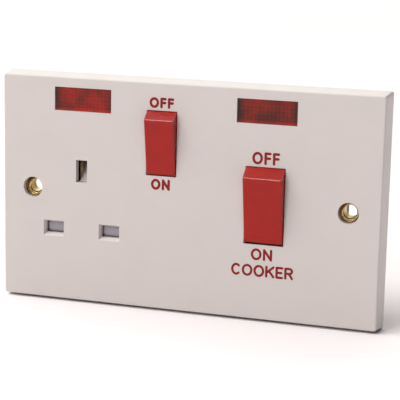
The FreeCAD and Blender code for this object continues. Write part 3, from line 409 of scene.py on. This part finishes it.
def leaf_material():
    """Sprung copper with painted light: bright at its foot where light reaches into the slot, and
    painted shade in dark brown higher up.
    """
    surface = Surface("earth_leaf", Specular_IOR_Level=0.6)
    surface.soften(0.08 * MM)
    painted_light_wobble = surface.spread(surface.noise(MM, detail=5.0, roughness=0.65), 0.8 * MM)
    painted_light_height = surface.math("ADD", surface.height(), painted_light_wobble)
    # Painted light at the foot and painted shade above, placed by height with a noise wobble
    surface.colour(surface.span(painted_light_height, 0.0, 1.0, start=3 * MM, end=12 * MM), [
        (0.00, (1.0, 0.70, 0.44)),
        (0.36, (1.0, 0.64, 0.38)),
        (0.56, (0.55, 0.40, 0.27)),
        (0.76, (0.22, 0.19, 0.13))])
    surface.rough(surface.noise(1.2 * MM, detail=5.0, roughness=0.7), 0.34, 0.54)
    marks = surface.noise(0.25 * MM, detail=4.0, roughness=0.6)
    surface.bump(marks, strength=0.3, depth=0.004 * MM)
    return surface.material


def ink_material():
    """Printed dark red ink of uneven thickness."""
    surface = Surface("legend_ink", Specular_IOR_Level=0.25)
    surface.colour(surface.noise(0.6 * MM, detail=5.0, roughness=0.65), [
        (0.30, (0.182, 0.005, 0.006)),
        (0.55, (0.218, 0.006, 0.006)),
        (0.78, (0.258, 0.008, 0.008))])
    surface.rough(surface.noise(0.5 * MM, detail=4.0, roughness=0.6), 0.32, 0.5)
    grain = surface.noise(0.25 * MM, detail=4.0, roughness=0.6)
    surface.bump(grain, strength=0.4, depth=0.006 * MM)
    return surface.material


def phenolic_material():
    """Near-black brown moulding with pale flecks of filler."""
    surface = Surface("base_moulding", Specular_IOR_Level=0.5)
    surface.soften(0.18 * MM)
    surface.colour(surface.noise(0.8 * MM, detail=6.0, roughness=0.7), [
        (0.30, (0.014, 0.011, 0.010)),
        (0.55, (0.026, 0.021, 0.019)),
        (0.72, (0.050, 0.040, 0.034))])
    surface.rough(surface.noise(3 * MM, detail=6.0, roughness=0.65), 0.38, 0.58)
    skin = surface.noise(0.35 * MM, detail=4.0, roughness=0.6)
    surface.bump(skin, strength=0.4, depth=0.01 * MM)
    return surface.material


def lamp_material():
    """Clear glass with a faint film."""
    surface = Surface("lamp_glass", Transmission_Weight=0.85, IOR=1.5)
    surface.colour(surface.noise(3 * MM, detail=3.0, roughness=0.5), [
        (0.35, (0.88, 0.84, 0.80)),
        (0.70, (0.95, 0.93, 0.90))])
    surface.rough(surface.noise(2 * MM, detail=4.0, roughness=0.6), 0.03, 0.12)
    return surface.material


def resistor_material():
    """Tan body with coloured bands along its length."""
    tan, band = (0.42, 0.28, 0.14), 1.3 * MM
    surface = Surface("resistor_body")
    fold = surface.math("PINGPONG", surface.height(), band)
    surface.colour(surface.span(fold, 0.0, 1.0, start=0.0, end=band), [
        (0.00, tan),
        (0.58, tan),
        (0.60, (0.30, 0.03, 0.02)),
        (0.80, (0.25, 0.025, 0.018))])
    surface.rough(surface.noise(1 * MM, detail=4.0, roughness=0.6), 0.45, 0.65)
    skin = surface.noise(0.3 * MM, detail=4.0, roughness=0.6)
    surface.bump(skin, strength=0.3, depth=0.006 * MM)
    return surface.material


def make_materials():
    """Give every solid its material, and return those that go by slot."""
    made = {
        "plate_moulding": plate_material(),
        "red_plastic": rocker_material(),
        "shutter_plastic": shutter_material(),
        "white_plastic": moulded("white_plastic", (0.70, 0.68, 0.62), 0.42),
        "base_moulding": phenolic_material(),
        "lamp_glass": lamp_material(),
        "lead_sleeve": moulded("lead_sleeve", (0.62, 0.60, 0.56), 0.5, edge=0.05 * MM),
        "resistor_body": resistor_material(),
        "brass": metal("brass", (0.90, 0.70, 0.36), (0.66, 0.47, 0.20), 0.34),
        "earth_leaf": leaf_material(),
        "copper": metal("copper", (0.83, 0.42, 0.25), (0.52, 0.24, 0.14), 0.30,
                        stretch=(1.0, 1.0, 6.0)),
        "plated_steel": metal("plated_steel", (0.66, 0.66, 0.65), (0.45, 0.45, 0.46), 0.26),
    }
    for entry in frame["record"]["subparts"]:
        node, slot = entry["node"], entry["material_slot"]
        if slot == "red_lens":
            material = lens_material(node, *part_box(node), *LENS_PAINTED_GLOW[node])
        elif node == "socket_earth_contact":
            material = made["earth_leaf"]
        elif node.startswith("fixing_eyelet"):
            material = eyelet_material(node, *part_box(node))
        else:
            material = made[slot]
        piece = nodes[node]
        if not piece.material_slots:
            piece.data.materials.append(material)
        for place in piece.material_slots:
            place.material = material
    return made


# Legends: printed strokes of even width with round ends, on the face of the plate

# Name, word, left and right edges, foot and top, stroke width and gap between letters, in millimetres
LEGENDS = (
    ("legend_socket_off", "OFF", -14.35, -4.95, 32.85, 36.75, 0.96, 0.45),
    ("legend_socket_on", "ON", -13.35, -6.05, 2.75, 6.85, 0.96, 0.48),
    ("legend_cooker_off", "OFF", 24.75, 34.95, 15.05, 19.6, 0.95, 0.50),
    ("legend_cooker_on", "ON", 25.25, 33.2, -20.05, -15.65, 0.88, 0.52),
    ("legend_cooker", "COOKER", 18.0, 41.2, -26.15, -21.7, 0.86, 0.36),
)
LETTER_WIDTHS = {"O": 1.0, "N": 0.86, "F": 0.66, "C": 0.90, "K": 0.86, "E": 0.72, "R": 0.82}

# Ink stands this far off the plate and reaches this far into it, in millimetres. Strokes step up in
# turn, so that two that cross share no face
INK_TOP, INK_ROOT = 0.03, 0.02
INK_STEP, INK_LAYERS = 0.003, 4
CAP_STEPS = 10


def stroke_outline(points, width, closed):
    """Left and right edges of a stroke along its centre line."""
    count = len(points)
    left, right = [], []
    for index, point in enumerate(points):
        before = points[index - 1] if index or closed else point
        after = points[(index + 1) % count] if index + 1 < count or closed else point
        along = (after - before).normalized()
        across = Vector((-along.y, along.x)) * width / 2
        left.append(point + across)
        right.append(point - across)
    return left, right


def add_stroke(mesh, points, width, top, foot, closed):
    """Raise one stroke off the plate, from foot to top."""
    def ring(edge, y):
        return [mesh.verts.new((p.x, y, p.y)) for p in edge]

    left, right = stroke_outline(points, width, closed)
    if closed:
        loops = [ring(left, top), ring(right, top), ring(left, foot), ring(right, foot)]
        count = len(left)
        for i in range(count):
            j = (i + 1) % count
            for a, b in ((0, 1), (1, 3), (3, 2), (2, 0)):
                mesh.faces.new((loops[a][i], loops[a][j], loops[b][j], loops[b][i]))
        return
    first, second, last_but_one, last = points[0], points[1], points[-2], points[-1]
    outline = list(left)
    for end, heading in ((last, last - last_but_one), (first, first - second)):
        start = math.atan2(heading.y, heading.x) + math.pi / 2
        cap = [start - math.pi * k / CAP_STEPS for k in range(1, CAP_STEPS)]
        outline += [end + Vector((math.cos(a), math.sin(a))) * width / 2 for a in cap]
        if end is last:
            outline += reversed(right)
    upper, lower = ring(outline, top), ring(outline, foot)
    mesh.faces.new(upper)
    mesh.faces.new(list(reversed(lower)))
    count = len(outline)
    for i in range(count):
        j = (i + 1) % count
        mesh.faces.new((upper[i], upper[j], lower[j], lower[i]))


def arc(cx, cz, rx, rz, start, end, steps):
    """Points on an ellipse from one angle to another, in degrees."""
    spots = [math.radians(start + (end - start) * k / steps) for k in range(steps + 1)]
    return [Vector((cx + rx * math.cos(a), cz + rz * math.sin(a))) for a in spots]


def letter_strokes(letter, w, h):
    """Centre lines of a letter in a box from the origin to w, h, and whether each is closed."""
    def line(*spots):
        return ([Vector((x * w, z * h)) for x, z in spots], False)

    stem = line((0, 0), (0, 1))
    if letter == "O":
        return [(arc(w / 2, h / 2, w / 2, h / 2, 0, 360, 48)[:-1], True)]
    if letter == "C":
        return [(arc(w * 0.52, h / 2, w * 0.52, h / 2, 48, 312, 36), False)]
    if letter == "F":
        return [stem, line((0, 1), (1, 1)), line((0, 0.52), (0.93, 0.52))]
    if letter == "E":
        return [stem, line((0, 1), (1, 1)), line((0, 0.50), (0.85, 0.50)), line((0, 0), (1, 0))]
    if letter == "N":
        return [stem, line((0, 1), (1, 0)), line((1, 0), (1, 1))]
    if letter == "K":
        return [stem, line((1, 1), (0.04, 0.40)), line((0.36, 0.60), (1, 0))]
    if letter == "R":
        bowl = [Vector((0, h)), Vector((w * 0.5, h))]
        bowl += arc(w * 0.56, h * 0.745, w * 0.42, h * 0.255, 90, -90, 20)[1:]
        bowl += [Vector((w * 0.5, h * 0.49)), Vector((0, h * 0.49))]
        return [stem, (bowl, False), line((0.52, 0.49), (1, 0))]


def make_legend(ink, name, word, x0, x1, z0, z1, stroke, gap):
    """One word fitted between its outer edges."""
    room = (x1 - x0) - gap * (len(word) - 1)
    unit = room / sum(LETTER_WIDTHS[letter] for letter in word)
    mesh = bmesh.new()
    x = x0
    layer = 0
    for letter in word:
        width = LETTER_WIDTHS[letter] * unit
        corner = Vector((x + stroke / 2, z0 + stroke / 2))
        for points, closed in letter_strokes(letter, width - stroke, z1 - z0 - stroke):
            top = FRONT - (INK_TOP + INK_STEP * layer) * MM
            foot = FRONT + INK_ROOT * MM
            add_stroke(mesh, [(p + corner) * MM for p in points], stroke * MM, top, foot, closed)
            layer = (layer + 1) % INK_LAYERS
        x += width + gap
    bmesh.ops.recalc_face_normals(mesh, faces=mesh.faces)
    piece = add_mesh(name, mesh, ink)
    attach(piece, "unit")


# Coil springs in place of the solid springs, each carried by its body

COIL_STEPS, COIL_SIDES = 28, 8
END_PITCH = 2.1  # rise of a closed end turn, in wire radii
COIL_PLAY = 0.05 * MM
PLUNGER_BORE, PLUNGER_ROOM = -3.0 * MM, 5.0 * MM
SHUTTER_SEAT = -27.05 * MM


def coil_mesh(name, radius, wire, length, turns, material):
    """Coil along Z from the origin, with closed end turns. Wire is the radius of the wire."""
    mesh = bmesh.new()
    height = length - 2 * wire
    rings = []
    for k in range((turns + 2) * COIL_STEPS + 1):
        turn = k / COIL_STEPS
        live = min(max(turn - 1.0, 0.0), turns) / turns
        ends = END_PITCH * wire * (min(turn, 1.0) + max(turn - 1.0 - turns, 0.0))
        z = wire + ends + live * (height - 2 * END_PITCH * wire)
        angle = 2 * math.pi * turn
        out = Vector((math.cos(angle), math.sin(angle), 0.0))
        ring = []
        for s in range(COIL_SIDES):
            a = 2 * math.pi * s / COIL_SIDES
            spot = out * (radius + wire * math.cos(a)) + Vector((0, 0, z + wire * math.sin(a)))
            ring.append(mesh.verts.new(spot))
        rings.append(ring)
    for near, far in zip(rings[:-1], rings[1:]):
        for s in range(COIL_SIDES):
            t = (s + 1) % COIL_SIDES
            mesh.faces.new((near[s], near[t], far[t], far[s]))
    mesh.faces.new(list(reversed(rings[0])))
    mesh.faces.new(rings[-1])
    bmesh.ops.recalc_face_normals(mesh, faces=mesh.faces)
    for face in mesh.faces:
        face.smooth = True
    return add_mesh(name, mesh, material)


def make_springs(steel):
    tilt = Matrix.Rotation(TILT, 4, "X")
    for name, pivot, pole, body in (
            ("cooker_neutral", COOKER_PIVOT, -4.0, "cooker_rocker"),
            ("cooker_live", COOKER_PIVOT, 4.0, "cooker_rocker"),
            ("socket_live", SOCKET_PIVOT, 0.0, "socket_rocker")):
        piece = coil_mesh(name + "_coil", radius=1.25 * MM, wire=0.2 * MM,
                          length=PLUNGER_ROOM - 2 * COIL_PLAY, turns=5, material=steel)
        bore = Matrix.Translation((pole * MM, PLUNGER_BORE + COIL_PLAY, 0))
        place = Matrix.Translation(pivot) @ tilt @ bore
        piece.data.transform(place @ Matrix.Rotation(-math.pi / 2, 4, "X"))
        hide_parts(name + "_spring")
        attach(piece, body)
        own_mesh(piece)
    middle = Vector(box_centre(*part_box("shutter_spring")))
    seat = SHUTTER_SEAT
    piece = coil_mesh("shutter_coil", radius=1.3 * MM, wire=0.22 * MM, length=9.4 * MM, turns=7,
                      material=steel)
    piece.data.transform(Matrix.Translation((middle.x, middle.y, seat + COIL_PLAY)))
    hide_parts("shutter_spring")
    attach(piece, "unit")
    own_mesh(piece)


# Floor and studio light

FLOOR_FLAT, FLOOR_SWEEP = 3.0, 1.4  # radius of the flat disc and of its swept edge, in metres
FLOOR_RISE = math.radians(45.0)
FLOOR_FOOT = -43.05 * MM
FLOOR_SIDES, FLOOR_STEPS = 72, 9


def make_stage():
    """Round floor whose far edge sweeps up, so that low views meet no dark horizon."""
    surface = Surface("floor", Specular_IOR_Level=0.2)
    surface.colour(surface.noise(0.4, detail=3.0, roughness=0.5), [
        (0.3, (0.815, 0.778, 0.793)),
        (0.7, (0.845, 0.808, 0.823))])
    surface.rough(surface.noise(0.2, detail=3.0, roughness=0.5), 0.7, 0.85)
    mesh = bmesh.new()
    rings = []
    for step in range(FLOOR_STEPS + 1):
        lean = FLOOR_RISE * step / FLOOR_STEPS
        reach = FLOOR_FLAT + FLOOR_SWEEP * math.sin(lean)
        height = FLOOR_FOOT + FLOOR_SWEEP * (1 - math.cos(lean))
        turns = [2 * math.pi * s / FLOOR_SIDES for s in range(FLOOR_SIDES)]
        rings.append([mesh.verts.new((reach * math.cos(a), reach * math.sin(a), height))
                      for a in turns])
    mesh.faces.new(rings[0])
    for near, far in zip(rings[:-1], rings[1:]):
        for s in range(FLOOR_SIDES):
            t = (s + 1) % FLOOR_SIDES
            mesh.faces.new((near[s], far[s], far[t], near[t])).smooth = True
    floor = add_mesh("floor", mesh, surface.material)


def aim(lamp, source):
    """Turn a lamp so that it shines from the source to the origin."""
    lamp.rotation_euler = (-Vector(source)).to_track_quat("-Z", "Y").to_euler()


def sky_light(name, source, spread, strength, colour):
    """Broad overhead light that reaches the floor and the part evenly."""
    data = bpy.data.lights.new(name, "SUN")
    data.angle = math.radians(spread)
    data.energy = strength
    data.color = colour
    aim(add_object(name, data), source)


def front_panel(name, place, size, power):
    """Dim round panel before the part, which the metal reflects."""
    data = bpy.data.lights.new(name, "AREA")
    data.shape = "DISK"
    data.size = size
    data.energy = power
    lamp = add_object(name, data)
    lamp.location = place
    aim(lamp, place)


def make_light():
    world = bpy.data.worlds.new("studio")
    world.use_nodes = True
    ground = world.node_tree.nodes["Background"]
    ground.inputs["Color"].default_value = (1.0, 0.84, 0.82, 1.0)
    ground.inputs["Strength"].default_value = 0.05
    bpy.context.scene.world = world
    sky_light("key", source=(-0.52, -0.28, 0.80), spread=36.0, strength=1.35,
              colour=(1.0, 0.985, 0.95))
    sky_light("sky", source=(-0.52, 0.27, 0.81), spread=112.0, strength=3.35,
              colour=(1.0, 0.99, 0.96))
    front_panel("fill", place=(-0.40, -1.25, 0.85), size=0.34, power=7.4)


make_camera()
slots = make_materials()
legend_ink = ink_material()
for legend in LEGENDS:
    make_legend(legend_ink, *legend)
make_springs(slots["plated_steel"])
make_stage()
make_light()
bpy.context.scene.view_settings.view_transform = "Standard"
